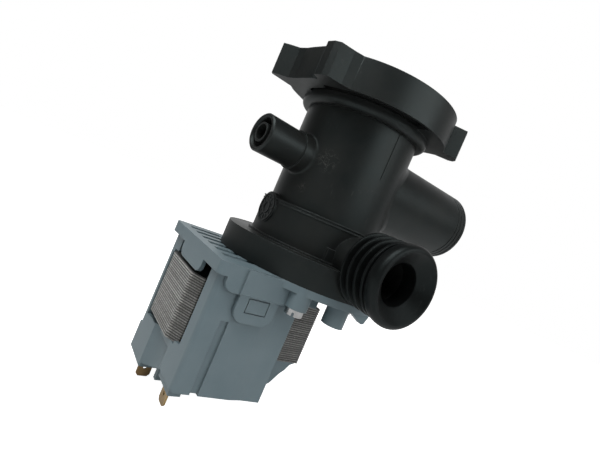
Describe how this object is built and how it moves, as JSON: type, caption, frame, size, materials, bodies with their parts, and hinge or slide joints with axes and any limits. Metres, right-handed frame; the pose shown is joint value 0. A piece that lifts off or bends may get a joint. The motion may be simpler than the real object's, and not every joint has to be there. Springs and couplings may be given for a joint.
{
  "type": "washing machine drain pump with filter housing",
  "caption": "Drain pump with synchronous motor, volute, upright filter tube with front ring, side inlet, small side port and ribbed rubber outlet sleeve.",
  "frame": {"origin": "on the filter tube's axis, in the joint face between the volute and the motor cover", "axes": "+Z along the filter tube towards the cap, +X along the inlet, -Y along the outlet; the motor hangs below the origin"},
  "size_m": [0.125, 0.1081, 0.1624],
  "materials": {
    "housing_plastic": "satin moulded polypropylene, faint scuffs",
    "inner_plastic": "satin",
    "sleeve_rubber": "soft dull rubber",
    "motor_plastic": "satin grey-blue, fine grain",
    "core_laminations": "varnished sheet edges",
    "terminal_brass": "tarnished",
    "zinc_steel": "zinc plated",
    "magnet_ferrite": "ground ferrite",
    "bearing_graphite": "dull graphite",
    "coil_copper": "enamelled wire"
  },
  "bodies": {
    "pump": {"volute": "housing_plastic", "filter_tube": "housing_plastic", "front_ring": "housing_plastic", "outlet_sleeve": "sleeve_rubber", "intake_plate": "housing_plastic", "pump_seal": "sleeve_rubber", "bearing_front": "bearing_graphite", "bearing_rear": "bearing_graphite", "bearing_plate": "motor_plastic", "rotor_can": "inner_plastic", "motor_cover": "motor_plastic", "motor_housing": "motor_plastic", "stator_stack": "core_laminations", "bobbin_front": "inner_plastic", "bobbin_back": "inner_plastic", "winding_front": "coil_copper", "winding_back": "coil_copper", "terminal_holder": "motor_plastic", "terminal_line": "terminal_brass", "terminal_neutral": "terminal_brass", "flange_screws": "zinc_steel"},
    "rotor": {"rotor_shaft": "zinc_steel", "rotor_magnet": "magnet_ferrite", "rotor_core": "inner_plastic", "thrust_washers": "zinc_steel", "drive_dog": "inner_plastic"},
    "impeller_wheel": {"impeller": "inner_plastic"},
    "basket": {"filter_basket": "inner_plastic"},
    "cap": {"filter_cap": "housing_plastic", "cap_seal": "sleeve_rubber"}
  },
  "joints": [
    {"name": "rotor_spin", "type": "hinge", "parent": "pump", "child": "rotor", "pos_m": [-0.005, 0.006, 0], "axis": [0, 0, 1], "continuous": true},
    {"name": "impeller_lost_motion", "type": "hinge", "parent": "rotor", "child": "impeller_wheel", "pos_m": [-0.005, 0.006, 0], "axis": [0, 0, 1], "range_deg": [-138, 138]},
    {"name": "filter_pull", "type": "slide", "parent": "pump", "child": "basket", "axis": [0, 0, 1], "range_m": [0, 0.065]},
    {"name": "cap_turn", "type": "hinge", "parent": "basket", "child": "cap", "pos_m": [0, 0, 0], "axis": [0, 0, 1], "range_deg": [0, 90]}
  ]
}
